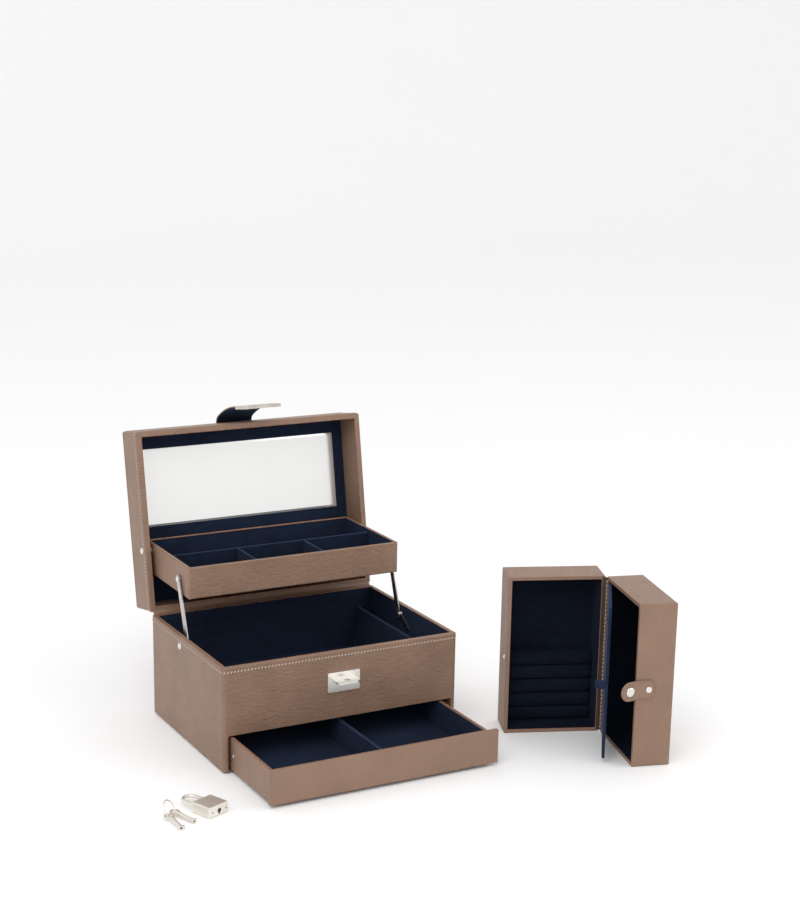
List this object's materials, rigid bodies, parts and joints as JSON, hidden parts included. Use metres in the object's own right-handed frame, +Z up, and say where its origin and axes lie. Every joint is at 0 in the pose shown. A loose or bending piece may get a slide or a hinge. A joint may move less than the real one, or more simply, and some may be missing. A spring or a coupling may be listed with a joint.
{
  "type": "jewellery case with travel case",
  "caption": "Leather-covered jewellery case with a mirrored lid, a tray that rises with it, a drawer, a padlock hasp, and a folding travel case, padlock and keys beside it.",
  "frame": {"origin": "centre of the base's underside, on the table", "axes": "+Z up, +Y from the front of the case to its back, +X to the right as seen from the front"},
  "size_m": [0.5272, 0.4429, 0.3221],
  "materials": {
    "leather": "pebbled, satin",
    "suede": "soft nap",
    "nickel": "polished",
    "steel": "satin",
    "mirror": "polished",
    "board": "raw",
    "felt": "felt",
    "backing": "card"
  },
  "bodies": {
    "base": {"base_shell": "leather", "underside_pad": "felt", "compartment_floor": "board", "floor_pad": "suede", "base_lining": "suede", "side_divider": "suede", "lock_plate": "nickel", "lock_staple": "nickel", "lock_pins": "nickel", "hinge_base_leaves": "steel", "hinge_pins": "steel", "arm_brackets": "steel", "arm_bracket_tacks": "steel", "arm_pivot_rivets": "nickel", "drawer_guides": "board"},
    "lid": {"lid_shell": "leather", "lid_lining_panel": "suede", "mirror": "mirror", "mirror_backing": "backing", "hinge_lid_leaves": "steel", "tray_pivot_pins": "nickel", "strap_anchor": "leather"},
    "strap": {"strap_leather": "leather", "strap_lining": "suede"},
    "hasp": {"hasp_cap": "nickel"},
    "tray": {"tray_shell": "leather", "tray_lining": "suede", "tray_long_divider": "suede", "tray_cross_dividers": "suede", "tray_arm_rivets": "nickel"},
    "arm_left": {"arm_left": "steel"},
    "arm_right": {"arm_right": "steel"},
    "drawer": {"drawer_front": "leather", "drawer_box": "leather", "drawer_lining": "suede", "drawer_divider": "suede", "drawer_front_screws": "steel", "drawer_glides": "board", "drawer_side_screws": "nickel"},
    "travel_left": {"travel_shell_left": "leather", "travel_lining_left": "suede", "ring_roll_board": "suede", "ring_rolls": "suede", "snap_stud": "nickel", "travel_spine_left": "leather"},
    "travel_right": {"travel_shell_right": "leather", "travel_lining_right": "suede", "travel_spine_right": "leather", "snap_strap_root": "leather", "snap_strap_rivet": "nickel"},
    "travel_flap": {"travel_flap": "suede"},
    "snap": {"snap_strap": "leather", "snap_cap": "nickel"},
    "padlock": {"padlock_body": "nickel"},
    "padlock_plug": {"padlock_plug": "nickel"},
    "padlock_shackle": {"padlock_shackle": "nickel"},
    "key_ring": {"key_ring": "nickel"},
    "key_one": {"key_one": "nickel"},
    "key_two": {"key_two": "nickel"}
  },
  "joints": [
    {"name": "lid_hinge", "type": "hinge", "parent": "base", "child": "lid", "pos_m": [0, 0.097, 0.1085], "axis": [1, 0, 0], "range_deg": [0, 100]},
    {"name": "tray_pivot", "type": "hinge", "parent": "lid", "child": "tray", "pos_m": [0, 0.12, 0.172], "axis": [1, 0, 0], "range_deg": [-100, 0]},
    {"name": "arm_left_pivot", "type": "hinge", "parent": "base", "child": "arm_left", "pos_m": [-0.1214, 0.016, 0.0985], "axis": [1, 0, 0], "range_deg": [0, 100]},
    {"name": "arm_right_pivot", "type": "hinge", "parent": "base", "child": "arm_right", "pos_m": [0.1214, 0.016, 0.0985], "axis": [1, 0, 0], "range_deg": [0, 100]},
    {"name": "strap_bend", "type": "hinge", "parent": "lid", "child": "strap", "pos_m": [0, 0.17656, 0.28791], "axis": [1, 0, 0], "range_deg": [-25, 13.5]},
    {"name": "hasp_bend", "type": "hinge", "parent": "strap", "child": "hasp", "pos_m": [0, 0.12566, 0.31562], "axis": [1, 0, 0], "range_deg": [-13.5, 25]},
    {"name": "drawer_slide", "type": "slide", "parent": "base", "child": "drawer", "axis": [0, 1, 0], "range_m": [-0.01, 0.097]},
    {"name": "travel_case_lift", "type": "slide", "parent": "base", "child": "travel_left", "axis": [0, 0, 1], "range_m": [0, 0.2]},
    {"name": "travel_hinge", "type": "hinge", "parent": "travel_left", "child": "travel_right", "pos_m": [0.269, -0.157, 0.0846], "axis": [0, 0, -1], "range_deg": [-84.2, 95.8]},
    {"name": "flap_hinge", "type": "hinge", "parent": "travel_right", "child": "travel_flap", "pos_m": [0.26796, -0.16284, 0.0846], "axis": [0, 0, 1], "range_deg": [-16.5, 18.7]},
    {"name": "snap_bend", "type": "hinge", "parent": "travel_right", "child": "snap", "pos_m": [0.24086, -0.25577, 0.0815], "axis": [0, 0, -1], "range_deg": [-30, 20]},
    {"name": "padlock_lift", "type": "slide", "parent": "base", "child": "padlock", "axis": [0, 0, 1], "range_m": [0, 0.15]},
    {"name": "plug_turn", "type": "hinge", "parent": "padlock", "child": "padlock_plug", "pos_m": [-0.1755, -0.1713, 0.0054], "axis": [-0.3746, 0.9272, 0], "range_deg": [-90, 90]},
    {"name": "shackle_slide", "type": "slide", "parent": "padlock", "child": "padlock_shackle", "axis": [-0.3746, 0.9272, 0], "range_m": [0, 0.0075]},
    {"name": "keys_lift", "type": "slide", "parent": "base", "child": "key_ring", "axis": [0, 0, 1], "range_m": [0, 0.15]},
    {"name": "key_one_turn", "type": "hinge", "parent": "key_ring", "child": "key_one", "pos_m": [-0.2074, -0.1638, 0.0033], "axis": [0, 0, 1], "range_deg": [-10, 15]},
    {"name": "key_two_turn", "type": "hinge", "parent": "key_ring", "child": "key_two", "pos_m": [-0.21555, -0.17089, 0.0033], "axis": [0, 0, 1], "range_deg": [-25, 10]}
  ],
  "couplings": [
    {"joint": "tray_pivot", "follows": "lid_hinge", "ratio": -1},
    {"joint": "arm_left_pivot", "follows": "lid_hinge", "ratio": 1},
    {"joint": "arm_right_pivot", "follows": "lid_hinge", "ratio": 1},
    {"joint": "hasp_bend", "follows": "strap_bend", "ratio": -1},
    {"joint": "flap_hinge", "follows": "travel_hinge", "ratio": 0.1952}
  ]
}
